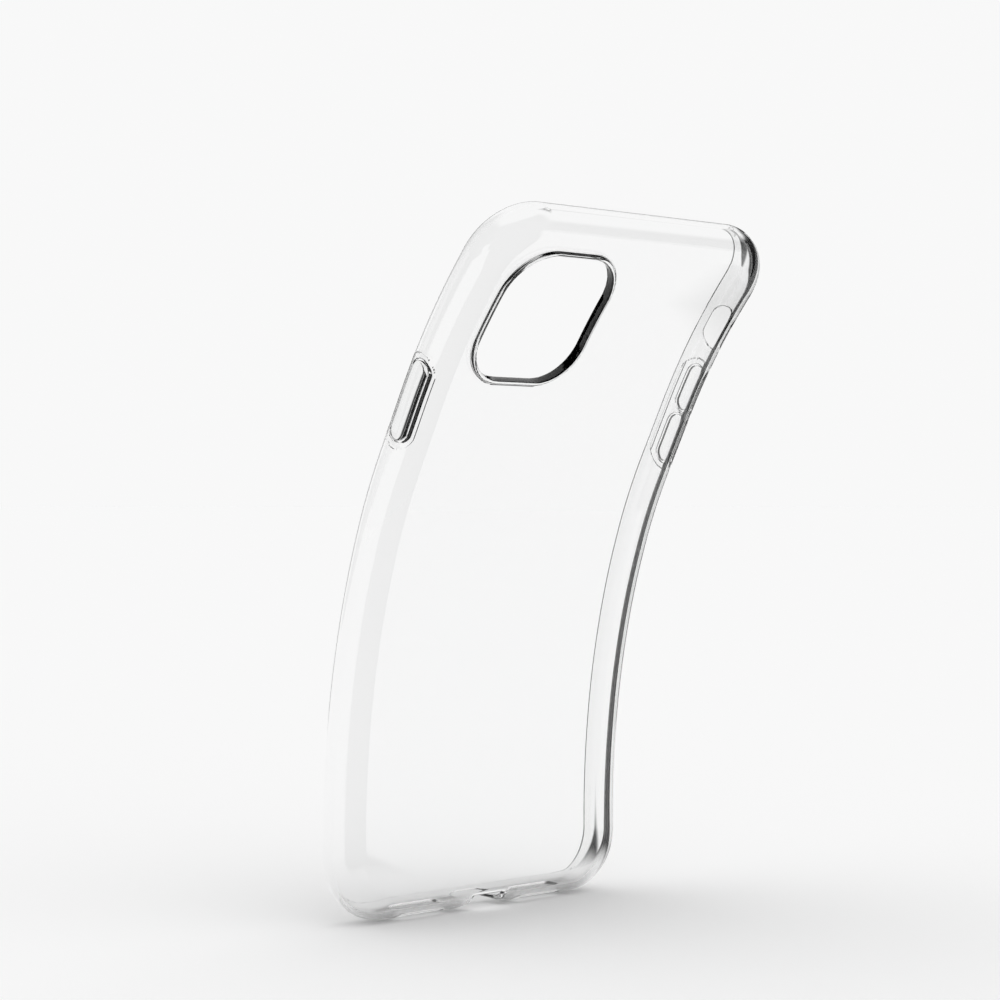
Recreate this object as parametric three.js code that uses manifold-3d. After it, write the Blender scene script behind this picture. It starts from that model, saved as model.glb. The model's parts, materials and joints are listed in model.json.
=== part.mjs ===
// A clear, soft TPU case for a 6.1 inch phone, peeled back from the phone as it is taken off.
//
// The case is one moulding that bends along its length, so it is divided where it bends: a base that
// stays seated on the phone, three flexing bands, a band that holds the button pads, and a top. The
// camera opening lies across the last division. Each division is a hinge across the case at the level
// of the front lip.
//
// Millimetres. X runs across the case, to the right as seen from behind. Y runs through it, from the
// back face towards the screen. Z runs up. Every part is drawn in its straight moulded place, with its
// height counted from the phone's bottom end, and the bending groups then turn it into place. The
// origin is on the inner face of the back, SEAT_HEIGHT above the phone's bottom end.

import * as THREE from 'three';
import { mergeVertices } from 'three/addons/utils/BufferGeometryUtils.js';
import Module from 'manifold-3d';

const wasm = await Module();
wasm.setup();

// The phone that the case fits, and the room round it.
const PHONE_WIDTH = 75.7;
const PHONE_LENGTH = 150.9;
const PHONE_DEPTH = 8.3;
const PHONE_EDGE_RADIUS = PHONE_DEPTH / 2;

// The wall of the case.
const WALL = 1.3;
const BACK = 1.2;
const LIP_RISE = 1.0;
const LIP_OVERHANG = 1.35;
const BACK_EDGE_RADIUS = 5.0;
const FRONT_EDGE_RADIUS = 5.0;
const LIP_ROOM_RADIUS = 2.0; // tighter than the phone's edge, which leaves the lip thin
const CORNER_RADIUS = 12.8;

// Where the case is divided, and how far each division is bent at rest.
const SEAT_HEIGHT = 13;
const FLEX_BANDS = 3;
const HINGE_HEIGHTS = [24, 45, 65.5, 85.5, 122.4];
const REST_BENDS = [5.8, 6.2, 6.8, 8.6, 12];
const EXTRA_PEEL = 0.4; // share of its rest bend that each division can bend further

// The gap that parts keep from their neighbours.
const GAP = 0.3;

// Camera opening and the raised rim round it.
const CAMERA = { x: -18.8, height: 130.4, width: 27.2, length: 29.5, radius: 9 };
const RIM_WIDTH = 1.0;
const RIM_RISE = 0.8;

// Button pads, in the pockets that frame them.
const SIDE_PAD = { height: 107.5, length: 16.8 };
const VOLUME_PADS = { volume_down_pad: 101.3, volume_up_pad: 113.2 };
const VOLUME_PAD_LENGTH = 10.8;
const PAD_WIDTH = 4.4;
const PAD_THICKNESS = 1.1;
const POCKET_DEPTH = 0.45;
const POCKET_MARGIN = 1.6;

// Openings in the walls.
const MUTE_OPENING = { height: 128.5, length: 9.8, width: 6.0 };
const PORT = { width: 13.6, innerWidth: 8.4, top: 7.0 };
const SPEAKER_SLOT = { offset: 16.5, width: 13.5, depth: 3.4 };

// Sizes that follow from those above.
const HALF_WIDTH = PHONE_WIDTH / 2 + WALL;
const BOTTOM = -WALL;
const TOP = PHONE_LENGTH + WALL;
const FRONT = PHONE_DEPTH + LIP_RISE;
const BED_EDGE = WALL + PHONE_EDGE_RADIUS; // from the outer wall in to where the bed becomes flat
const PANEL_EDGE = BED_EDGE + GAP; // from the outer wall in to the edge of the back panel
const MIDDLE = PHONE_DEPTH / 2;

const clearTpu = new THREE.MeshStandardMaterial({
  color: 0xf2f5f6,
  roughness: 0.08,
  metalness: 0,
  transparent: true,
  opacity: 0.3,
});

// ---- Solids -------------------------------------------------------------------------------------

function toSolid(geometry) {
  const bare = geometry.clone();
  bare.deleteAttribute('normal');
  bare.deleteAttribute('uv');
  const merged = mergeVertices(bare, 1e-4);
  const mesh = new wasm.Mesh({
    numProp: 3,
    vertProperties: new Float32Array(merged.attributes.position.array),
    triVerts: new Uint32Array(merged.index.array),
  });
  return new wasm.Manifold(mesh);
}

function toGeometry(solid) {
  const mesh = solid.getMesh();
  const geometry = new THREE.BufferGeometry();
  geometry.setAttribute('position', new THREE.BufferAttribute(mesh.vertProperties, 3));
  geometry.setIndex(new THREE.BufferAttribute(mesh.triVerts, 1));
  geometry.computeVertexNormals();
  return geometry;
}

function cut(geometry, ...cutters) {
  let solid = toSolid(geometry);
  for (const cutter of cutters) solid = solid.subtract(toSolid(cutter));
  return toGeometry(solid);
}

// ---- Outlines -----------------------------------------------------------------------------------

function arcPoints(centreX, centreY, radius, fromDegrees, toDegrees, steps) {
  const points = [];
  for (let i = 0; i <= steps; i += 1) {
    const angle = THREE.MathUtils.degToRad(THREE.MathUtils.lerp(fromDegrees, toDegrees, i / steps));
    points.push(new THREE.Vector2(centreX + radius * Math.cos(angle), centreY + radius * Math.sin(angle)));
  }
  return points;
}

// The wall's section, as (distance in from the outer wall, depth) points. It runs anticlockwise: out
// along the inside, which follows the phone's round edge, to the lip, and back round the outside.
function wallSection() {
  const lipEdge = WALL + LIP_OVERHANG;
  const frontCentre = FRONT - FRONT_EDGE_RADIUS;
  const roomEdge = WALL + LIP_ROOM_RADIUS;
  const roomCentre = PHONE_DEPTH - LIP_ROOM_RADIUS;
  const outerEnd = 180 - THREE.MathUtils.radToDeg(Math.acos((FRONT_EDGE_RADIUS - lipEdge) / FRONT_EDGE_RADIUS));
  const innerEnd = 180 - THREE.MathUtils.radToDeg(Math.acos((roomEdge - lipEdge) / LIP_ROOM_RADIUS));
  return [
    new THREE.Vector2(PANEL_EDGE, 0),
    ...arcPoints(BED_EDGE, MIDDLE, PHONE_EDGE_RADIUS, 270, 180, 7),
    ...arcPoints(roomEdge, roomCentre, LIP_ROOM_RADIUS, 180, innerEnd, 4),
    ...arcPoints(FRONT_EDGE_RADIUS, frontCentre, FRONT_EDGE_RADIUS, outerEnd, 180, 5),
    ...arcPoints(BACK_EDGE_RADIUS, BACK_EDGE_RADIUS - BACK, BACK_EDGE_RADIUS, 180, 270, 7),
    new THREE.Vector2(PANEL_EDGE, -BACK),
  ];
}

function roundedRectangle(x, height, width, length, radius) {
  const shape = new THREE.Shape();
  const corners = [
    [x + width / 2 - radius, height + length / 2 - radius, 0],
    [x - width / 2 + radius, height + length / 2 - radius, 1],
    [x - width / 2 + radius, height - length / 2 + radius, 2],
    [x + width / 2 - radius, height - length / 2 + radius, 3],
  ];
  for (const [centreX, centreY, turn] of corners) {
    const start = (turn * Math.PI) / 2;
    shape.absarc(centreX, centreY, radius, start, start + Math.PI / 2, false);
  }
  shape.closePath();
  return shape;
}

// ---- Pieces of wall and back --------------------------------------------------------------------

// Sweeps the wall's section along stations, each one a place on the case's outline with the direction
// that leads inwards from it. A station's lean moves it along the case in proportion to the distance
// from the hinge line, so the ends of neighbouring bands meet along a wedge.
function sweepWall(stations) {
  const section = wallSection();
  const count = section.length;
  const positions = [];
  for (const { x, height, inX, inHeight, lean = 0 } of stations) {
    for (const { x: inwards, y: depth } of section) {
      positions.push(x + inX * inwards, depth, height + inHeight * inwards + lean * (FRONT - depth));
    }
  }
  const indices = [];
  for (let ring = 0; ring < stations.length - 1; ring += 1) {
    for (let i = 0; i < count; i += 1) {
      const a = ring * count + i;
      const b = ring * count + ((i + 1) % count);
      indices.push(a, b, b + count, a, b + count, a + count);
    }
  }
  const last = (stations.length - 1) * count;
  for (const [a, b, c] of THREE.ShapeUtils.triangulateShape(section, [])) {
    indices.push(a, c, b, last + a, last + b, last + c);
  }
  const geometry = new THREE.BufferGeometry();
  geometry.setAttribute('position', new THREE.Float32BufferAttribute(positions, 3));
  geometry.setIndex(indices);
  return facingOut(geometry);
}

// Turns a closed geometry's faces round if they point inwards.
function facingOut(geometry) {
  const position = geometry.attributes.position;
  const index = geometry.index;
  const corner = [new THREE.Vector3(), new THREE.Vector3(), new THREE.Vector3()];
  let volume = 0;
  for (let i = 0; i < index.count; i += 3) {
    corner.forEach((point, k) => point.fromBufferAttribute(position, index.getX(i + k)));
    volume += corner[0].dot(corner[1].clone().cross(corner[2])) / 6;
  }
  if (volume < 0) {
    for (let i = 0; i < index.count; i += 3) {
      const second = index.getX(i + 1);
      index.setX(i + 1, index.getX(i + 2));
      index.setX(i + 2, second);
    }
  }
  geometry.computeVertexNormals();
  return geometry;
}

// A straight length of side wall. side is 1 for the right wall and -1 for the left.
function rail(side, from, to) {
  const place = { x: side * HALF_WIDTH, inX: -side, inHeight: 0 };
  return sweepWall([{ ...place, ...from }, { ...place, ...to }]);
}

// A quarter turn of wall. end is 1 at the top of the case and -1 at the bottom.
function cornerWall(side, end) {
  const steps = 9;
  const trim = GAP / 2 / CORNER_RADIUS;
  const centreX = side * (HALF_WIDTH - CORNER_RADIUS);
  const centreHeight = end > 0 ? TOP - CORNER_RADIUS : BOTTOM + CORNER_RADIUS;
  const stations = [];
  for (let i = 0; i <= steps; i += 1) {
    const angle = THREE.MathUtils.lerp(trim, Math.PI / 2 - trim, i / steps);
    const outX = side * Math.cos(angle);
    const outHeight = end * Math.sin(angle);
    stations.push({
      x: centreX + CORNER_RADIUS * outX,
      height: centreHeight + CORNER_RADIUS * outHeight,
      inX: -outX,
      inHeight: -outHeight,
    });
  }
  return sweepWall(stations);
}

// The straight wall across an end of the case.
function endWall(end) {
  const reach = HALF_WIDTH - CORNER_RADIUS - GAP / 2;
  const place = { height: end > 0 ? TOP : BOTTOM, inX: 0, inHeight: -end };
  return sweepWall([{ ...place, x: -reach }, { ...place, x: reach }]);
}

// A band of back panel between two hinge lines.
function backBand(from, to) {
  const half = HALF_WIDTH - PANEL_EDGE - GAP;
  const geometry = new THREE.BoxGeometry(2 * half, BACK, to.height - from.height);
  geometry.translate(0, -BACK / 2, (from.height + to.height) / 2);
  return leanEnds(geometry, from, to);
}

// An end panel of the back, with the outline of the bed on three sides.
function backEnd(end, inner, holes = []) {
  const half = HALF_WIDTH - PANEL_EDGE - GAP;
  const radius = CORNER_RADIUS - PANEL_EDGE - GAP;
  const outerHeight = end > 0 ? TOP - PANEL_EDGE - GAP : BOTTOM + PANEL_EDGE + GAP;
  const shape = new THREE.Shape();
  shape.moveTo(-half, inner.height);
  shape.lineTo(-half, outerHeight - end * radius);
  shape.absarc(-half + radius, outerHeight - end * radius, radius, Math.PI, end * Math.PI / 2, end > 0);
  shape.absarc(half - radius, outerHeight - end * radius, radius, end * Math.PI / 2, 0, end > 0);
  shape.lineTo(half, inner.height);
  shape.closePath();
  shape.holes.push(...holes);
  const geometry = new THREE.ExtrudeGeometry(shape, { depth: BACK, bevelEnabled: false, curveSegments: 8 });
  geometry.rotateX(Math.PI / 2);
  return leanEnds(geometry, inner);
}

// Moves the vertices at the given heights by each end's lean.
function leanEnds(geometry, ...ends) {
  const position = geometry.attributes.position;
  for (let i = 0; i < position.count; i += 1) {
    const end = ends.find(({ height }) => Math.abs(position.getZ(i) - height) < 0.01);
    if (end) position.setZ(i, end.height + end.lean * (FRONT - position.getY(i)));
  }
  return geometry;
}

// ---- Openings and small parts -------------------------------------------------------------------

// A block with round ends through a side wall, between two distances from the case's middle plane.
function sideStadium(side, height, length, width, nearX, farX) {
  const shape = roundedRectangle(0, height, width, length, width / 2 - 0.01);
  const geometry = new THREE.ExtrudeGeometry(shape, {
    depth: farX - nearX,
    bevelEnabled: false,
    curveSegments: 6,
  });
  geometry.rotateX(Math.PI / 2);
  geometry.rotateZ(Math.PI / 2);
  geometry.translate(nearX, MIDDLE, 0);
  if (side < 0) geometry.rotateZ(Math.PI).translate(0, 2 * MIDDLE, 0);
  return geometry;
}

function padWindow(side, height, length) {
  return sideStadium(side, height, length + 2 * GAP, PAD_WIDTH + 2 * GAP, HALF_WIDTH - 3, HALF_WIDTH + 2);
}

function pocket(side, height, length) {
  const width = PAD_WIDTH + 2 * POCKET_MARGIN;
  const floor = HALF_WIDTH - POCKET_DEPTH;
  return sideStadium(side, height, length + 2 * POCKET_MARGIN, width, floor, HALF_WIDTH + 2);
}

function pad(side, height, length) {
  const outer = HALF_WIDTH - 0.05;
  return sideStadium(side, height, length, PAD_WIDTH, outer - PAD_THICKNESS, outer);
}

function block(width, depthFrom, depthTo, heightFrom, heightTo) {
  const geometry = new THREE.BoxGeometry(width, depthTo - depthFrom, heightTo - heightFrom);
  return geometry.translate(0, (depthFrom + depthTo) / 2, (heightFrom + heightTo) / 2);
}

// The notch for the charging port, flared towards the outside of the bottom wall.
function portNotch() {
  const outside = BOTTOM - 1;
  const outer = PORT.width / 2;
  const inner = PORT.innerWidth / 2;
  const shape = new THREE.Shape();
  shape.moveTo(-outer, outside);
  shape.lineTo(outer, outside);
  shape.lineTo(outer, BOTTOM);
  shape.lineTo(inner, 0);
  shape.lineTo(inner, WALL);
  shape.lineTo(-inner, WALL);
  shape.lineTo(-inner, 0);
  shape.lineTo(-outer, BOTTOM);
  shape.closePath();
  const geometry = new THREE.ExtrudeGeometry(shape, { depth: PORT.top + BACK + 1, bevelEnabled: false });
  return geometry.rotateX(Math.PI / 2).translate(0, PORT.top, 0);
}

// A slot with round ends through the bottom wall.
function speakerSlot(x) {
  const { width, depth } = SPEAKER_SLOT;
  const shape = roundedRectangle(x, MIDDLE, width, depth, depth / 2 - 0.01);
  const geometry = new THREE.ExtrudeGeometry(shape, { depth: 6, bevelEnabled: false, curveSegments: 5 });
  return geometry.translate(0, 0, BOTTOM - 2);
}

function cameraOutline(growth) {
  const { x, height, width, length, radius } = CAMERA;
  return roundedRectangle(x, height, width + 2 * growth, length + 2 * growth, radius + growth);
}

// The raised rim, which stands on the outside of the back round the camera opening.
function cameraRim() {
  const shape = cameraOutline(RIM_WIDTH);
  shape.holes.push(cameraOutline(0));
  const geometry = new THREE.ExtrudeGeometry(shape, {
    depth: RIM_RISE - GAP,
    bevelEnabled: false,
    curveSegments: 8,
  });
  return geometry.rotateX(Math.PI / 2).translate(0, -BACK - GAP, 0);
}

// ---- The case -----------------------------------------------------------------------------------

const phoneCase = new THREE.Group();
phoneCase.name = 'phone_case';

function addPart(group, name, geometry) {
  const mesh = new THREE.Mesh(geometry, clearTpu.clone());
  mesh.name = name;
  mesh.position.copy(group.userData.drawingOrigin);
  group.add(mesh);
}

// A group that turns about the hinge line at this height, for everything above it.
function bendingGroup(below, height, degrees) {
  const group = new THREE.Group();
  group.position.copy(below.userData.drawingOrigin).add(new THREE.Vector3(0, FRONT, height));
  group.rotation.x = THREE.MathUtils.degToRad(degrees);
  group.userData.drawingOrigin = new THREE.Vector3(0, -FRONT, -height);
  below.add(group);
  return group;
}

// The end face of a band at a hinge. direction is 1 for the band above the hinge and -1 for the one
// below. The wedge between the two closes when the case is peeled as far as it goes.
function hingeEnd(index, direction) {
  const halfAngle = THREE.MathUtils.degToRad((REST_BENDS[index] * (1 + EXTRA_PEEL)) / 2);
  return { height: HINGE_HEIGHTS[index] + (direction * GAP) / 2, lean: direction * Math.tan(halfAngle) };
}

// A block that holds everything beyond a band's end face, to cut a part off there.
function beyondEnd(end, direction) {
  const reach = 2 * TOP;
  const from = Math.min(end.height, end.height + direction * reach);
  return leanEnds(block(reach, -reach, reach, from, from + reach), end);
}

const straightBottom = { height: BOTTOM + CORNER_RADIUS + GAP / 2 };
const straightTop = { height: TOP - CORNER_RADIUS - GAP / 2 };

// Base, which stays on the phone.
const base = new THREE.Group();
base.userData.drawingOrigin = new THREE.Vector3(0, 0, -SEAT_HEIGHT);
phoneCase.add(base);

addPart(base, 'base_back_panel', backEnd(-1, hingeEnd(0, -1)));
addPart(base, 'base_left_rail', rail(-1, straightBottom, hingeEnd(0, -1)));
addPart(base, 'base_right_rail', rail(1, straightBottom, hingeEnd(0, -1)));
addPart(base, 'bottom_left_corner', cornerWall(-1, -1));
addPart(base, 'bottom_right_corner', cornerWall(1, -1));
addPart(
  base,
  'bottom_wall',
  cut(
    endWall(-1),
    portNotch(),
    speakerSlot(-SPEAKER_SLOT.offset),
    speakerSlot(SPEAKER_SLOT.offset),
  ),
);

// Flexing bands, each hung from the one below it.
let below = base;
for (let band = 1; band <= FLEX_BANDS; band += 1) {
  const group = bendingGroup(below, HINGE_HEIGHTS[band - 1], REST_BENDS[band - 1]);
  const from = hingeEnd(band - 1, 1);
  const to = hingeEnd(band, -1);
  addPart(group, `flex_${band}_back_band`, backBand(from, to));
  addPart(group, `flex_${band}_left_rail`, rail(-1, from, to));
  addPart(group, `flex_${band}_right_rail`, rail(1, from, to));
  below = group;
}

// Button band, which holds the button pads and the lower end of the camera opening.
const buttonHinge = FLEX_BANDS;
const topHinge = FLEX_BANDS + 1;
const buttonBand = bendingGroup(below, HINGE_HEIGHTS[buttonHinge], REST_BENDS[buttonHinge]);
const buttonStart = hingeEnd(buttonHinge, 1);
const buttonEnd = hingeEnd(topHinge, -1);
const volumeHeights = Object.values(VOLUME_PADS);
const volumeMiddle = (volumeHeights[0] + volumeHeights[1]) / 2;
const volumeLength = volumeHeights[1] - volumeHeights[0] + VOLUME_PAD_LENGTH;
const openedPanel = backEnd(1, buttonStart, [cameraOutline(0)]);

addPart(buttonBand, 'button_band_panel', cut(openedPanel, beyondEnd(buttonEnd, 1)));
addPart(buttonBand, 'camera_rim_lower', cut(cameraRim(), beyondEnd(buttonEnd, 1)));
addPart(
  buttonBand,
  'side_button_rail',
  cut(
    rail(-1, buttonStart, buttonEnd),
    pocket(-1, SIDE_PAD.height, SIDE_PAD.length),
    padWindow(-1, SIDE_PAD.height, SIDE_PAD.length),
  ),
);
addPart(
  buttonBand,
  'volume_rail',
  cut(
    rail(1, buttonStart, buttonEnd),
    pocket(1, volumeMiddle, volumeLength),
    ...volumeHeights.map((height) => padWindow(1, height, VOLUME_PAD_LENGTH)),
  ),
);
addPart(buttonBand, 'side_button_pad', pad(-1, SIDE_PAD.height, SIDE_PAD.length));
for (const [name, height] of Object.entries(VOLUME_PADS)) {
  addPart(buttonBand, name, pad(1, height, VOLUME_PAD_LENGTH));
}

// Top, with the switch opening and the rest of the camera opening.
const top = bendingGroup(buttonBand, HINGE_HEIGHTS[topHinge], REST_BENDS[topHinge]);
const topStart = hingeEnd(topHinge, 1);
const { height: muteHeight, length: muteLength, width: muteWidth } = MUTE_OPENING;

addPart(top, 'camera_panel', cut(openedPanel, beyondEnd(topStart, -1)));
addPart(top, 'camera_rim_upper', cut(cameraRim(), beyondEnd(topStart, -1)));
addPart(top, 'top_left_rail', rail(-1, topStart, straightTop));
addPart(
  top,
  'mute_switch_rail',
  cut(
    rail(1, topStart, straightTop),
    sideStadium(1, muteHeight, muteLength, muteWidth, HALF_WIDTH - 3, HALF_WIDTH + 2),
  ),
);
addPart(top, 'top_left_corner', cornerWall(-1, 1));
addPart(top, 'top_right_corner', cornerWall(1, 1));
addPart(top, 'top_wall', endWall(1));

export default phoneCase;
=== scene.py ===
"""A clear, soft TPU phone case, peeled back along its length, on a pale studio floor.

The case is one moulding. It is described once as a signed distance in its straight, moulded shape, in
millimetres (x across, y through from the back to the screen, s up from the phone's bottom end). That
is meshed, bent about the frame's hinge lines into the rest pose, and divided between the bending
bands, so that each piece crosses one hinge.
"""

import json
import math

import bmesh
import bpy
import numpy as np
from mathutils import Matrix, Vector

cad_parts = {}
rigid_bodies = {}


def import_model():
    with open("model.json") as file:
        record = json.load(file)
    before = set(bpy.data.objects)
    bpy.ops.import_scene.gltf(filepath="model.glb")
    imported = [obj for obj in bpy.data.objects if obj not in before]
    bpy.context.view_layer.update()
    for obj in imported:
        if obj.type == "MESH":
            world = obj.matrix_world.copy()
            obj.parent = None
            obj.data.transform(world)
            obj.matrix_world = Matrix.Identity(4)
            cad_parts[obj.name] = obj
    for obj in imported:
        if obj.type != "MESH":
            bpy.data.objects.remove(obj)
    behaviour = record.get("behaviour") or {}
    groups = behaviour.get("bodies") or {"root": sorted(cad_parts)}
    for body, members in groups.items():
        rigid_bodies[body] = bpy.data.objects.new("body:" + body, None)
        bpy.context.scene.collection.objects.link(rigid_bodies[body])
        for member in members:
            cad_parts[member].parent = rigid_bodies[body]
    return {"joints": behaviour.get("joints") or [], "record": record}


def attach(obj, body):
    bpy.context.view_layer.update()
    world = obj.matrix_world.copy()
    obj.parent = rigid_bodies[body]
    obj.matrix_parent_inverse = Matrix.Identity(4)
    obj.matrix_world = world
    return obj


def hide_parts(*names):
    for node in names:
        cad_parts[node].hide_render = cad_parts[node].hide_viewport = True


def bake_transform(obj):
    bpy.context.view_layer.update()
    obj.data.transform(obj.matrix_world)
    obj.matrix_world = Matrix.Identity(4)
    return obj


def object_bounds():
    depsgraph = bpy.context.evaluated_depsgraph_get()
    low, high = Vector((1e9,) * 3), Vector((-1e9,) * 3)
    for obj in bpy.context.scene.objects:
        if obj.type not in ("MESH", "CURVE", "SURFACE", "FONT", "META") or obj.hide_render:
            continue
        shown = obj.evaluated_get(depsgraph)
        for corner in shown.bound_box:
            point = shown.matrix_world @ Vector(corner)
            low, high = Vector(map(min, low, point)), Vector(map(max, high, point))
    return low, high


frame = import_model()
cad_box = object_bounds()

MM = 0.001
HAIR = 0.01  # keeps a stadium's ends from being quite half round

# The case's sizes, in millimetres, as the frame's solids have them.
PHONE_LENGTH = 150.9
PHONE_WIDTH = 75.7
PHONE_DEPTH = 8.3
WALL = 1.3
BACK = 1.2
FRONT = PHONE_DEPTH + 1.0  # the level of the hinges, that the rounded front edge is drawn up to
LIP_EDGE = WALL + 1.35  # how far the lip's edge is in from the outline
HALF_WIDTH = PHONE_WIDTH / 2 + WALL
HALF_LENGTH = PHONE_LENGTH / 2 + WALL
CORNER_RADIUS = 12.8
BACK_EDGE_RADIUS = 5.0
FRONT_EDGE_RADIUS = 5.0
LIP_ROOM_RADIUS = 2.0  # tighter than the phone's own edge, which leaves the lip thin
MIDDLE = PHONE_DEPTH / 2
SEAT_HEIGHT = 13.0  # how far the frame's origin is above the phone's bottom end

CAMERA_OPENING = {"x": -18.8, "s": 130.4, "half_x": 13.6, "half_s": 14.75, "radius": 9.0}
RIM_WIDTH = 1.0
RIM_RISE = 0.8

PADS = {
    "side_button_pad": {"side": -1, "s": 107.5, "length": 16.8, "body": "side_button"},
    "volume_down_pad": {"side": 1, "s": 101.3, "length": 10.8, "body": "volume_down"},
    "volume_up_pad": {"side": 1, "s": 113.2, "length": 10.8, "body": "volume_up"},
}
PAD_WIDTH = 4.4
PAD_THICKNESS = 1.1
PAD_GAP = 0.28
PAD_SINK = 0.04  # how far a pad's face lies below the wall's
POCKET_DEPTH = 0.45
POCKET_MARGIN = 1.6
POCKET_STEP = 0.16  # how deep the pocket's frame is where the wall curves away from its flat floor

MUTE_OPENING = {"s": 128.5, "length": 9.8, "width": 6.0}
PORT = {"half_width": 6.8, "inner_half_width": 4.2, "top": 7.0, "reach": 6.0, "radius": 1.2}
SPEAKER_SLOT = {"offset": 16.5, "half_width": 6.75, "half_depth": 1.7}

# How widely edges are rounded where shapes meet, in millimetres.
ROUNDING = {
    "room": 0.4,
    "rim": 0.6,
    "rim_foot": 0.5,
    "camera": 0.3,
    "pocket": 0.15,
    "pad_window": 0.2,
    "mute": 0.5,
    "port": 0.8,
    "port_mouth": 1.0,
    "slot": 0.3,
    "pad_face": 0.5,
    "pad_back": 0.3,
}

# How far the bend spreads either side of each hinge line, from the base up.
BEND_REACHES = [9.5, 9.5, 9.5, 8.7, 14.4]
BLEND_SHARE = 0.95  # how much of that stretch the chord of a bend spans
SEAM_MARGIN = 1.0  # the most that a seam between shell pieces lies above a bend's end


# ---- The moulded shape, as signed distances in millimetres --------------------------------------


def rounded_box(u, v, half_u, half_v, radius):
    """Distance to a rectangle with round corners."""
    out_u = np.abs(u) - half_u + radius
    out_v = np.abs(v) - half_v + radius
    corner = np.hypot(np.maximum(out_u, 0), np.maximum(out_v, 0))
    return corner + np.minimum(np.maximum(out_u, out_v), 0) - radius


def smooth_max(a, b, k):
    """The larger of two distances, with the edge where they meet rounded over a width k."""
    overlap = np.maximum(k - np.abs(a - b), 0)
    return np.maximum(a, b) + overlap * overlap / (4 * k)


def smooth_min(a, b, k):
    """The smaller of two distances, rounded where they meet."""
    return -smooth_max(-a, -b, k)


def round_edged_slab(plan, y, low, high, low_radius, high_radius):
    """A slab between two depths, whose outline is where plan is zero, with its two edges rounded."""
    middle = (low + high) / 2
    radius = np.where(y < middle, low_radius, high_radius)
    out_plan = plan + radius
    out_y = np.abs(y - middle) - (high - low) / 2 + radius
    corner = np.hypot(np.maximum(out_plan, 0), np.maximum(out_y, 0))
    return corner + np.minimum(np.maximum(out_plan, out_y), 0) - radius


def plan_distance(x, s):
    """Distance to the case's outline seen from behind."""
    return rounded_box(x, s - PHONE_LENGTH / 2, HALF_WIDTH, HALF_LENGTH, CORNER_RADIUS)


def outer_body(x, y, s):
    """Distance to the case's outside, taken as solid."""
    plan = plan_distance(x, s)
    return round_edged_slab(plan, y, -BACK, FRONT, BACK_EDGE_RADIUS, FRONT_EDGE_RADIUS)


def phone_bed(x, y, s):
    """The room for the phone, open to the front inside the lip."""
    plan = plan_distance(x, s)
    phone = round_edged_slab(plan + WALL, y, 0, PHONE_DEPTH, PHONE_DEPTH / 2, LIP_ROOM_RADIUS)
    mouth = np.maximum(plan + LIP_EDGE, MIDDLE - y)
    return smooth_min(phone, mouth, ROUNDING["room"])


def camera_outline(x, s):
    """Distance to the camera opening's outline seen from behind."""
    opening = CAMERA_OPENING
    return rounded_box(
        x - opening["x"], s - opening["s"], opening["half_x"], opening["half_s"], opening["radius"]
    )


def side_stadium(y, s, centre, length, width):
    """Distance to a stadium drawn on a side wall."""
    return rounded_box(y - MIDDLE, s - centre, width / 2, length / 2, width / 2 - HAIR)


def pocket_outlines():
    """The framed pocket on each side, as (side, middle, length)."""
    low, high = PADS["volume_down_pad"], PADS["volume_up_pad"]
    volume_length = high["s"] - low["s"] + low["length"]
    side = PADS["side_button_pad"]
    return [
        (1, (low["s"] + high["s"]) / 2, volume_length + 2 * POCKET_MARGIN),
        (-1, side["s"], side["length"] + 2 * POCKET_MARGIN),
    ]


def side_cuts(shape, x, y, s):
    """The button pockets, the windows that the pads sit in, and the mute switch opening."""
    for side, centre, length in pocket_outlines():
        outline = side_stadium(y, s, centre, length, PAD_WIDTH + 2 * POCKET_MARGIN)
        floor = HALF_WIDTH - POCKET_DEPTH - side * x
        step = -POCKET_STEP - outer_body(x, y, s)
        floor = np.maximum(np.minimum(floor, step), HALF_WIDTH / 2 - side * x)
        pocket = smooth_max(outline, floor, ROUNDING["pocket"])
        shape = smooth_max(shape, -pocket, ROUNDING["pocket"])
    for pad in PADS.values():
        length = pad["length"] + 2 * PAD_GAP
        outline = side_stadium(y, s, pad["s"], length, PAD_WIDTH + 2 * PAD_GAP)
        window = np.maximum(outline, HALF_WIDTH / 2 - pad["side"] * x)
        shape = smooth_max(shape, -window, ROUNDING["pad_window"])
    opening = MUTE_OPENING
    outline = side_stadium(y, s, opening["s"], opening["length"], opening["width"])
    return smooth_max(shape, -np.maximum(outline, HALF_WIDTH / 2 - x), ROUNDING["mute"])


def bottom_cuts(shape, x, y, s):
    """The charging port notch, flared towards the outside, and the two speaker slots."""
    height = PORT["top"] + PORT["reach"]
    flare = np.clip(-s / WALL, 0, 1.5) * (PORT["half_width"] - PORT["inner_half_width"])
    half_width = PORT["inner_half_width"] + flare
    notch = rounded_box(x, y - PORT["top"] + height / 2, half_width, height / 2, PORT["radius"])
    notch = smooth_max(notch, s - WALL, ROUNDING["port"])
    shape = smooth_max(shape, -notch, ROUNDING["port_mouth"])
    for side in (-1, 1):
        slot = rounded_box(
            x - side * SPEAKER_SLOT["offset"],
            y - MIDDLE,
            SPEAKER_SLOT["half_width"],
            SPEAKER_SLOT["half_depth"],
            SPEAKER_SLOT["half_depth"] - HAIR,
        )
        shape = smooth_max(shape, -np.maximum(slot, s - WALL * 2), ROUNDING["slot"])
    return shape


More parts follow.
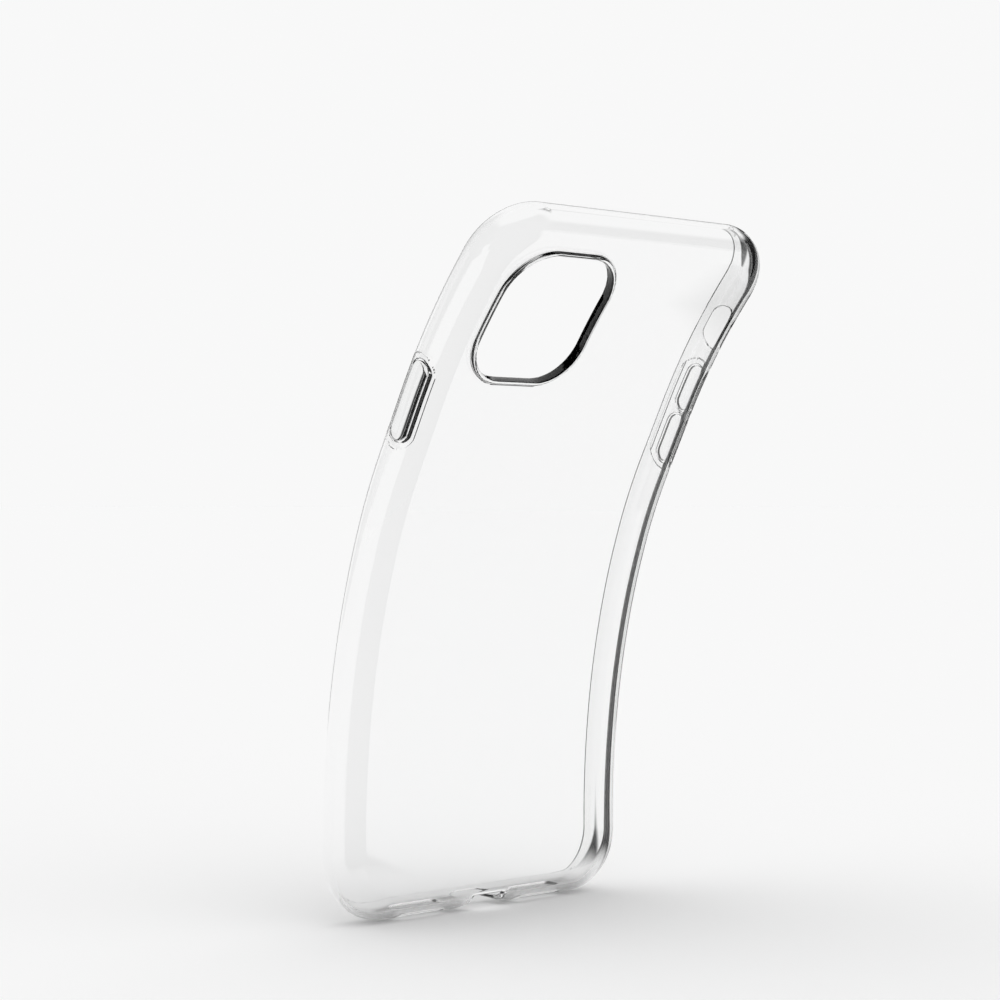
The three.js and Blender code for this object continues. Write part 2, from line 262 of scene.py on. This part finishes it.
def case_shape(x, y, s):
    """The whole moulding, apart from the button pads."""
    shape = smooth_max(outer_body(x, y, s), -phone_bed(x, y, s), ROUNDING["room"])
    outline = camera_outline(x, s)
    band = np.abs(outline - RIM_WIDTH / 2) - RIM_WIDTH / 2
    rim = smooth_max(band, np.abs(y + BACK) - RIM_RISE, ROUNDING["rim"])
    shape = smooth_min(shape, rim, ROUNDING["rim_foot"])
    shape = smooth_max(shape, -outline, ROUNDING["camera"])
    return bottom_cuts(side_cuts(shape, x, y, s), x, y, s)


def pad_shape(pad):
    """A button pad, whose face follows the side wall."""

    def shape(x, y, s):
        outline = side_stadium(y, s, pad["s"], pad["length"], PAD_WIDTH)
        face = outer_body(x, y, s) + PAD_SINK
        back = HALF_WIDTH - PAD_THICKNESS - pad["side"] * x
        front = smooth_max(outline, face, ROUNDING["pad_face"])
        return smooth_max(front, back, ROUNDING["pad_back"])

    return shape


# ---- Meshing ------------------------------------------------------------------------------------

GRADIENT_STEP = 1e-3
LEAST_SLOPE = 0.2  # the least squared slope that a vertex's move is worked out with
LONGEST_MOVE = 0.3
MOVE_ROUNDS = 3


def graded_lines(*stretches):
    """Grid lines over stretches given as (from, to, step)."""
    lines = []
    for low, high, step in stretches:
        count = max(1, round((high - low) / step))
        lines.extend(low + (high - low) * i / count for i in range(count))
    lines.append(stretches[-1][1])
    return np.array(lines)


def gradient(shape, points):
    """The slope of a signed distance at each point."""
    parts = []
    for axis in range(3):
        offset = np.zeros(3)
        offset[axis] = GRADIENT_STEP
        parts.append(shape(*(points + offset).T) - shape(*(points - offset).T))
    return np.stack(parts, axis=1) / (2 * GRADIENT_STEP)


def drawn_to_surface(shape, points):
    """Moves points along the gradient on to the surface."""
    for _ in range(MOVE_ROUNDS):
        slope = gradient(shape, points)
        size = np.maximum((slope**2).sum(axis=1), LEAST_SLOPE)
        move = slope * (shape(*points.T) / size)[:, None]
        points = points - np.clip(move, -LONGEST_MOVE, LONGEST_MOVE)
    return points


def surface_net(shape, xs, ys, ss):
    """Vertices and quads of the zero surface, one vertex for each grid cell that it crosses."""
    lines = (xs, ys, ss)
    values = shape(xs[:, None, None], ys[None, :, None], ss[None, None, :])
    inside = values < 0
    cells = tuple(len(line) - 1 for line in lines)
    total = np.zeros(cells + (3,))
    crossings = np.zeros(cells)
    quads = []
    edges = []
    for axis in range(3):
        near = [slice(None)] * 3
        far = [slice(None)] * 3
        near[axis] = slice(0, -1)
        far[axis] = slice(1, None)
        crossed = inside[tuple(near)] != inside[tuple(far)]
        index = np.argwhere(crossed)
        low = values[tuple(near)][crossed]
        high = values[tuple(far)][crossed]
        share = low / (low - high)
        point = np.stack([lines[k][index[:, k]] for k in range(3)], axis=1)
        step = lines[axis][index[:, axis] + 1] - lines[axis][index[:, axis]]
        point[:, axis] += share * step
        others = [k for k in range(3) if k != axis]
        for shift_a in (0, -1):
            for shift_b in (0, -1):
                cell = index.copy()
                cell[:, others[0]] += shift_a
                cell[:, others[1]] += shift_b
                np.add.at(total, tuple(cell.T), point)
                np.add.at(crossings, tuple(cell.T), 1)
        edges.append((axis, others, index, inside[tuple(near)][crossed]))
    used = crossings > 0
    number = np.full(cells, -1)
    number[used] = np.arange(used.sum())
    vertices = total[used] / crossings[used][:, None]
    for axis, others, index, starts_inside in edges:
        ring = []
        for shift_a, shift_b in ((0, 0), (-1, 0), (-1, -1), (0, -1)):
            cell = index.copy()
            cell[:, others[0]] += shift_a
            cell[:, others[1]] += shift_b
            ring.append(number[tuple(cell.T)])
        ring = np.stack(ring, axis=1)
        flip = starts_inside if axis != 1 else ~starts_inside
        quads.append(np.where(flip[:, None], ring, ring[:, ::-1]))
    return vertices, np.concatenate(quads)


# Grid stretches for the whole case, as (from, to, step): close at walls, corners and openings, and wide
# on the plain back.
WALL_INSIDE = 32.4
GRID_MARGIN = 0.5
GRID_EDGE = HALF_WIDTH + GRID_MARGIN
CASE_GRID = {
    "x": [
        (-GRID_EDGE, -WALL_INSIDE, 0.24),
        (-WALL_INSIDE, -28, 0.34),
        (-28, -8, 0.7),
        (-8, -3, 0.5),
        (-3, 5, 0.8),
        (5, 8, 0.5),
        (8, 28, 1.0),
        (28, WALL_INSIDE, 0.4),
        (WALL_INSIDE, GRID_EDGE, 0.24),
    ],
    "y": [(-2.9, 6.6, 0.29), (6.6, 9.8, 0.2)],
    "s": [
        (-WALL - GRID_MARGIN, 13, 0.26),
        (13, 93, 1.3),
        (93, 135, 0.45),
        (135, 139, 0.6),
        (139, PHONE_LENGTH + WALL + GRID_MARGIN, 0.26),
    ],
}
PAD_GRID_STEPS = {"x": 0.17, "y": 0.22, "s": 0.24}
PAD_GRID_MARGINS = {"x": 0.3, "y": 0.4, "s": 0.4}


def case_lines():
    return [graded_lines(*stretches) for stretches in CASE_GRID.values()]


def pad_lines(pad):
    """Grid lines round one pad."""
    outer = HALF_WIDTH + PAD_GRID_MARGINS["x"]
    inner = HALF_WIDTH - PAD_THICKNESS - PAD_GRID_MARGINS["x"]
    low, high = (inner, outer) if pad["side"] > 0 else (-outer, -inner)
    half_width = PAD_WIDTH / 2 + PAD_GRID_MARGINS["y"]
    half_length = pad["length"] / 2 + PAD_GRID_MARGINS["s"]
    xs = graded_lines((low, high, PAD_GRID_STEPS["x"]))
    ys = graded_lines((MIDDLE - half_width, MIDDLE + half_width, PAD_GRID_STEPS["y"]))
    ss = graded_lines((pad["s"] - half_length, pad["s"] + half_length, PAD_GRID_STEPS["s"]))
    return xs, ys, ss


# ---- Bending ------------------------------------------------------------------------------------


def read_hinges():
    """The peel hinges from the base up: each one's line at rest, its height and its rest bend."""
    hinges = []
    found = [joint for joint in frame["joints"] if joint["type"] == "hinge"]
    found.sort(key=lambda joint: joint["pos_m"][2])
    for joint, reach in zip(found, BEND_REACHES):
        line = np.array(joint["pos_m"][1:]) / MM
        if hinges:
            height = hinges[-1]["height"] + float(np.linalg.norm(line - hinges[-1]["line"]))
        else:
            height = line[1] + SEAT_HEIGHT
        hinges.append(
            {
                "line": line,
                "height": height,
                "reach": reach,
                "bend": -math.radians(joint["range_deg"][0]),
                "bodies": (joint["parent"], joint["child"]),
            }
        )
    return hinges


HINGES = read_hinges()


def rest_turn(s):
    """How far the case is turned at each height at rest, and how much its wall is pressed there."""
    turn = np.zeros_like(s)
    rate = np.zeros_like(s)
    for hinge in HINGES:
        length = 2 * hinge["reach"]
        share = np.clip((s - hinge["height"] + hinge["reach"]) / length, 0, 1)
        turn += hinge["bend"] * share
        rate += np.where((share > 0) & (share < 1), hinge["bend"] / length, 0)
    return turn, rate


def bent(points):
    """Moulded points, in millimetres, moved to the rest pose.

    Each stretch runs from the end of one bend to the end of the next. In it the case is straight up
    to the next bend, and then follows an arc about a line level with the front lip.
    """
    out = points.copy()
    stretch_start = -np.inf
    turn = 0.0
    line, base = HINGES[0]["line"], HINGES[0]["height"]
    for hinge in [*HINGES, None]:
        stretch_end = hinge["height"] + hinge["reach"] if hinge else np.inf
        chosen = (points[:, 2] > stretch_start) & (points[:, 2] <= stretch_end)
        along = points[chosen, 2] - base
        through = points[chosen, 1] - FRONT
        if hinge:
            arc_start = hinge["height"] - hinge["reach"] - base
            radius = hinge["reach"] / math.tan(hinge["bend"] / 2)
            angle = hinge["bend"] * np.maximum(along - arc_start, 0) / (2 * hinge["reach"])
            curved = angle > 0
            arm = radius + through
            along = np.where(curved, arc_start + arm * np.sin(angle), along)
            through = np.where(curved, arm * np.cos(angle) - radius, through)
        out[chosen, 1] = line[0] + math.cos(turn) * through - math.sin(turn) * along
        out[chosen, 2] = line[1] + math.sin(turn) * through + math.cos(turn) * along
        if hinge:
            line, base = hinge["line"], hinge["height"]
            turn += hinge["bend"]
        stretch_start = stretch_end
    return out


LEAST_STRETCH = 0.1


def bent_normals(normals, points):
    """The moulded surface's normals, as they are in the rest pose."""
    turn, rate = rest_turn(points[:, 2])
    along = normals[:, 2] / np.maximum(1 + rate * (points[:, 1] - FRONT), LEAST_STRETCH)
    across = normals[:, 1]
    out = np.stack(
        [
            normals[:, 0],
            across * np.cos(turn) - along * np.sin(turn),
            across * np.sin(turn) + along * np.cos(turn),
        ],
        axis=1,
    )
    return out / np.linalg.norm(out, axis=1)[:, None]


# ---- Pieces -------------------------------------------------------------------------------------


def moulded_mesh(name, vertices, quads):
    mesh = bpy.data.meshes.new(name)
    mesh.from_pydata(vertices.tolist(), [], quads.tolist())
    mesh.validate()
    return mesh


def cut_band(mesh, name, low, high):
    """The part of a mesh between two heights, closed by flat faces, which get material slot 1."""
    work = bmesh.new()
    work.from_mesh(mesh)
    for height, outward in ((low, -1), (high, 1)):
        if height is None:
            continue
        everything = work.verts[:] + work.edges[:] + work.faces[:]
        found = bmesh.ops.bisect_plane(
            work,
            geom=everything,
            dist=1e-5,
            plane_co=(0, 0, height),
            plane_no=(0, 0, outward),
            clear_outer=True,
        )
        rim = [item for item in found["geom_cut"] if isinstance(item, bmesh.types.BMEdge)]
        filled = bmesh.ops.triangle_fill(work, edges=rim, use_beauty=False, normal=(0, 0, outward))
        for item in filled["geom"]:
            if isinstance(item, bmesh.types.BMFace):
                item.material_index = 1
                if item.normal.z * outward < 0:
                    item.normal_flip()
    band = bpy.data.meshes.new(name)
    work.to_mesh(band)
    work.free()
    return band


def finish_piece(name, mesh, shape, materials):
    """Bends the mesh and gives it the surface's own normals."""
    count = len(mesh.vertices)
    points = np.empty(count * 3)
    mesh.vertices.foreach_get("co", points)
    points = points.reshape(-1, 3)
    slope = gradient(shape, points)
    normals = slope / np.maximum(np.linalg.norm(slope, axis=1), 1e-9)[:, None]
    normals = bent_normals(normals, points)
    mesh.vertices.foreach_set("co", (bent(points) * MM).ravel())
    for material in materials:
        mesh.materials.append(material)
    mesh.update()
    mesh.shade_smooth()
    loop_vertices = np.empty(len(mesh.loops), dtype=np.int32)
    mesh.loops.foreach_get("vertex_index", loop_vertices)
    loop_normals = normals[loop_vertices]
    for face in mesh.polygons:
        if face.material_index:
            loop_normals[face.loop_start : face.loop_start + face.loop_total] = face.normal
    mesh.normals_split_custom_set(loop_normals.tolist())
    piece = bpy.data.objects.new(name, mesh)
    bpy.context.scene.collection.objects.link(piece)
    return piece


def hinge_blend(piece, hinge):
    """Works out the chord of the bend at a hinge, which nothing uses, and bakes the piece's placement into
    its mesh.
    """
    reach = hinge["reach"] * BLEND_SHARE
    ends = [(0, MIDDLE, hinge["height"] - reach), (0, MIDDLE, hinge["height"] + reach)]
    start, end = bent(np.array(ends)) * MM
    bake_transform(piece)


# Each shell piece crosses one hinge, and stands for the nodes of the body below that hinge.
SHELLS = ["case_base", "case_lower_band", "case_middle_band", "case_upper_band", "case_top"]


def make_shell(materials):
    vertices, quads = surface_net(case_shape, *case_lines())
    vertices = drawn_to_surface(case_shape, vertices)
    whole = moulded_mesh("whole_case", vertices, quads)
    seams = [None]
    for lower, upper in zip(HINGES, HINGES[1:]):
        lower_end = lower["height"] + lower["reach"]
        upper_start = upper["height"] - upper["reach"]
        seams.append(min((lower_end + upper_start) / 2, lower_end + SEAM_MARGIN))
    seams.append(None)
    bodies = frame["record"]["behaviour"]["bodies"]
    for number, (name, hinge) in enumerate(zip(SHELLS, HINGES)):
        band = cut_band(whole, name, seams[number], seams[number + 1])
        piece = finish_piece(name, band, case_shape, materials)
        hinge_blend(piece, hinge)
        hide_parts(*bodies[hinge["bodies"][0]])
    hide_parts(*bodies[HINGES[-1]["bodies"][1]])
    bpy.data.meshes.remove(whole)


def make_pads(materials):
    for name, pad in PADS.items():
        shape = pad_shape(pad)
        vertices, quads = surface_net(shape, *pad_lines(pad))
        vertices = drawn_to_surface(shape, vertices)
        mesh = moulded_mesh(name + "_mesh", vertices, quads)
        piece = finish_piece(name + "_skin", mesh, shape, materials[:1])
        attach(piece, pad["body"])
        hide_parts(name)


# ---- Materials ----------------------------------------------------------------------------------


def add_node(tree, kind, inputs=None, **settings):
    """A shader node, with its settings, and with each input given a value or linked to a socket."""
    node = tree.nodes.new(kind)
    for name, value in settings.items():
        setattr(node, name, value)
    for name, value in (inputs or {}).items():
        if isinstance(value, bpy.types.NodeSocket):
            tree.links.new(value, node.inputs[name])
        else:
            node.inputs[name].default_value = value
    return node


def empty_tree(owner):
    owner.use_nodes = True
    owner.node_tree.nodes.clear()
    return owner.node_tree


def noise(tree, scale, detail):
    place = add_node(tree, "ShaderNodeTexCoord").outputs["Object"]
    inputs = {"Vector": place, "Scale": scale, "Detail": detail}
    return add_node(tree, "ShaderNodeTexNoise", inputs).outputs["Fac"]


def clear_tpu():
    """Water-white moulded TPU: glossy, with a faint moulding ripple and slightly uneven polish."""
    material = bpy.data.materials.new("clear_tpu")
    tree = empty_tree(material)
    polish = add_node(
        tree,
        "ShaderNodeMapRange",
        {"Value": noise(tree, 55.0, 3.0), "From Min": 0.3, "From Max": 0.7, "To Min": 0.0, "To Max": 0.035},
    )
    ripple = add_node(
        tree, "ShaderNodeBump", {"Height": noise(tree, 38.0, 1.0), "Strength": 0.05, "Distance": 0.0004}
    )
    shader = add_node(
        tree,
        "ShaderNodeBsdfPrincipled",
        {
            "Base Color": (0.985, 0.986, 0.986, 1),
            "Transmission Weight": 1.0,
            "IOR": 1.5,
            "Roughness": polish.outputs["Result"],
            "Normal": ripple.outputs["Normal"],
        },
    )
    add_node(tree, "ShaderNodeOutputMaterial", {"Surface": shader.outputs["BSDF"]})
    return material


def seam_material():
    """The faces inside the moulding where its pieces meet, which show nothing."""
    material = bpy.data.materials.new("inside_seam")
    tree = empty_tree(material)
    shader = add_node(tree, "ShaderNodeBsdfTransparent")
    add_node(tree, "ShaderNodeOutputMaterial", {"Surface": shader.outputs["BSDF"]})
    return material


def matt_material(name, level):
    material = bpy.data.materials.new(name)
    tree = empty_tree(material)
    shader = add_node(tree, "ShaderNodeBsdfDiffuse", {"Color": (level, level, level, 1)})
    add_node(tree, "ShaderNodeOutputMaterial", {"Surface": shader.outputs["BSDF"]})
    return material


# ---- Studio -------------------------------------------------------------------------------------

# Headings are in degrees, turning from +Y towards +X, and say which way a ray is going.
FLOOR_LEVEL = 0.94
FLOOR_REACH = 30.0
FLOOR_DROP = 0.0004
FLAGS_DROP = 0.0002
WINDOWS = [(48.5, 15.5), (0, 7), (-90, 7)]  # headings and half widths of the white backdrops
WINDOW_TOP = 14.0
WINDOW_EDGE = 4.0
WINDOW_FADE = 0.07
OVERHEAD_FROM = 52.0
OVERHEAD_FADE = 10.0
SOFTBOX = {"heading": 75, "half_width": 55, "edge": 15, "from": 22}  # white from lower down
DARK_LEVEL = 0.015
FLAG_EDGE = 4.0
# Black cloth on the floor: its heading, its half width, where it begins and where it is fully black.
FLOOR_FLAGS = [(91, 22, 0.042, 0.08), (205, 46, 0.042, 0.08), (20, 7, 0.45, 0.7)]


def heading_vector(heading):
    return Vector((math.sin(math.radians(heading)), math.cos(math.radians(heading)), 0))


def add_disc(name, drop):
    """A disc that stands under the object, this far below its lowest point."""
    bpy.ops.mesh.primitive_circle_add(vertices=96, radius=FLOOR_REACH, fill_type="NGON")
    disc = bpy.context.active_object
    disc.name = name
    disc.location.z = cad_box[0].z - drop
    return disc


def make_floor():
    floor = add_disc("floor", FLOOR_DROP)
    floor.data.materials.append(matt_material("pale_floor", FLOOR_LEVEL))


def calculate(tree, operation, *values):
    """The socket of a maths node, over values and sockets."""
    node = add_node(tree, "ShaderNodeMath", operation=operation)
    for socket, value in zip(node.inputs, values):
        if isinstance(value, bpy.types.NodeSocket):
            tree.links.new(value, socket)
        else:
            socket.default_value = value
    return node.outputs[0]


def soft_step(tree, value, low, high):
    """0 at low and 1 at high, eased between them."""
    inputs = {"Value": value, "From Min": low, "From Max": high}
    step = add_node(tree, "ShaderNodeMapRange", inputs, interpolation_type="SMOOTHSTEP")
    return step.outputs["Result"]


def beam(tree, direction, heading, half_width, edge):
    """1 towards a heading and 0 away from it, whatever the elevation."""
    flat = add_node(tree, "ShaderNodeVectorMath", {0: direction, 1: (1, 1, 0)}, operation="MULTIPLY")
    level = add_node(tree, "ShaderNodeVectorMath", {0: flat.outputs[0]}, operation="NORMALIZE")
    towards = tuple(heading_vector(heading))
    dot = add_node(tree, "ShaderNodeVectorMath", {0: level.outputs[0], 1: towards}, operation="DOT_PRODUCT")
    low, high = (math.cos(math.radians(angle)) for angle in (half_width + edge, half_width))
    return soft_step(tree, dot.outputs["Value"], low, high)


def above(tree, height, elevation):
    """1 well above an elevation and 0 below it."""
    low, high = (math.sin(math.radians(angle)) for angle in (elevation, elevation + OVERHEAD_FADE))
    return soft_step(tree, height, low, high)


def black_cloth():
    """Black cloth along some headings, each fading in with its distance from the case."""
    material = bpy.data.materials.new("black_cloth")
    tree = empty_tree(material)
    place = add_node(tree, "ShaderNodeNewGeometry").outputs["Position"]
    distance = add_node(tree, "ShaderNodeVectorMath", {0: place}, operation="LENGTH").outputs["Value"]
    cloth = 0.0
    for heading, half_width, begins, full in FLOOR_FLAGS:
        strip = beam(tree, place, heading, half_width, FLAG_EDGE)
        strip = calculate(tree, "MULTIPLY", strip, soft_step(tree, distance, begins, full))
        cloth = calculate(tree, "MAXIMUM", cloth, strip)
    clear = add_node(tree, "ShaderNodeBsdfTransparent").outputs[0]
    black = add_node(tree, "ShaderNodeBsdfDiffuse", {"Color": (0, 0, 0, 1)}).outputs[0]
    shader = add_node(tree, "ShaderNodeMixShader", {0: cloth, 1: clear, 2: black})
    add_node(tree, "ShaderNodeOutputMaterial", {"Surface": shader.outputs[0]})
    return material


def make_floor_flags():
    """Black cloth on the floor that only reflections and refractions meet."""
    flags = add_disc("floor_flags", FLAGS_DROP)
    flags.data.materials.append(black_cloth())
    flags.visible_camera = False
    flags.visible_diffuse = False
    flags.visible_shadow = False


def make_world():
    """White studio light. Reflections and refractions see white only where a backdrop stands or
    overhead, and dark studio between, which draws the edges of the clear moulding."""
    world = bpy.data.worlds.new("studio")
    bpy.context.scene.world = world
    tree = empty_tree(world)
    direction = add_node(tree, "ShaderNodeTexCoord").outputs["Generated"]
    height = add_node(tree, "ShaderNodeSeparateXYZ", {0: direction}).outputs["Z"]
    windows = 0.0
    for heading, half_width in WINDOWS:
        window = beam(tree, direction, heading, half_width, WINDOW_EDGE)
        windows = calculate(tree, "MAXIMUM", windows, window)
    top = math.sin(math.radians(WINDOW_TOP))
    windows = calculate(tree, "MULTIPLY", windows, soft_step(tree, height, top + WINDOW_FADE, top))
    softbox = beam(tree, direction, SOFTBOX["heading"], SOFTBOX["half_width"], SOFTBOX["edge"])
    softbox = calculate(tree, "MULTIPLY", softbox, above(tree, height, SOFTBOX["from"]))
    overhead = calculate(tree, "MAXIMUM", softbox, above(tree, height, OVERHEAD_FROM))
    seen = calculate(tree, "MAXIMUM", calculate(tree, "MAXIMUM", windows, overhead), DARK_LEVEL)
    rays = add_node(tree, "ShaderNodeLightPath").outputs
    through = calculate(tree, "MAXIMUM", rays["Is Glossy Ray"], rays["Is Transmission Ray"])
    direct = calculate(tree, "SUBTRACT", 1.0, through)
    bent_part = calculate(tree, "MULTIPLY", through, calculate(tree, "MULTIPLY", seen, FLOOR_LEVEL))
    lit = calculate(tree, "SUBTRACT", 1.0, rays["Is Camera Ray"])
    plain = calculate(tree, "MAXIMUM", lit, FLOOR_LEVEL)
    strength = calculate(tree, "ADD", bent_part, calculate(tree, "MULTIPLY", direct, plain))
    background = add_node(tree, "ShaderNodeBackground", {"Color": (1, 1, 1, 1), "Strength": strength})
    add_node(tree, "ShaderNodeOutputWorld", {"Surface": background.outputs[0]})


# The camera. Its heading was solved from the phone's outline in the picture. Its lens and place began
# there too, and were then adjusted to lay the case's outline on the picture's.
CAMERA_LENS = 89.1
CAMERA_SENSOR = 36.0
CAMERA_CLIP = (0.01, 200.0)
CAMERA_PLACE = Vector((-0.35309, -0.36464, 0.0691))
CAMERA_FORWARD = Vector((0.699, 0.715, 0.0))


def make_camera():
    data = bpy.data.cameras.new("camera")
    data.sensor_width = CAMERA_SENSOR
    data.lens = CAMERA_LENS
    data.clip_start, data.clip_end = CAMERA_CLIP
    camera = bpy.data.objects.new("camera", data)
    bpy.context.scene.collection.objects.link(camera)
    turn = CAMERA_FORWARD.to_track_quat("-Z", "Y").to_matrix().to_4x4()
    camera.matrix_world = Matrix.Translation(CAMERA_PLACE) @ turn
    bpy.context.scene.camera = camera


make_camera()
surfaces = [clear_tpu(), seam_material()]
make_shell(surfaces)
make_pads(surfaces)
make_floor()
make_floor_flags()
make_world()
bpy.context.scene.view_settings.view_transform = "Standard"
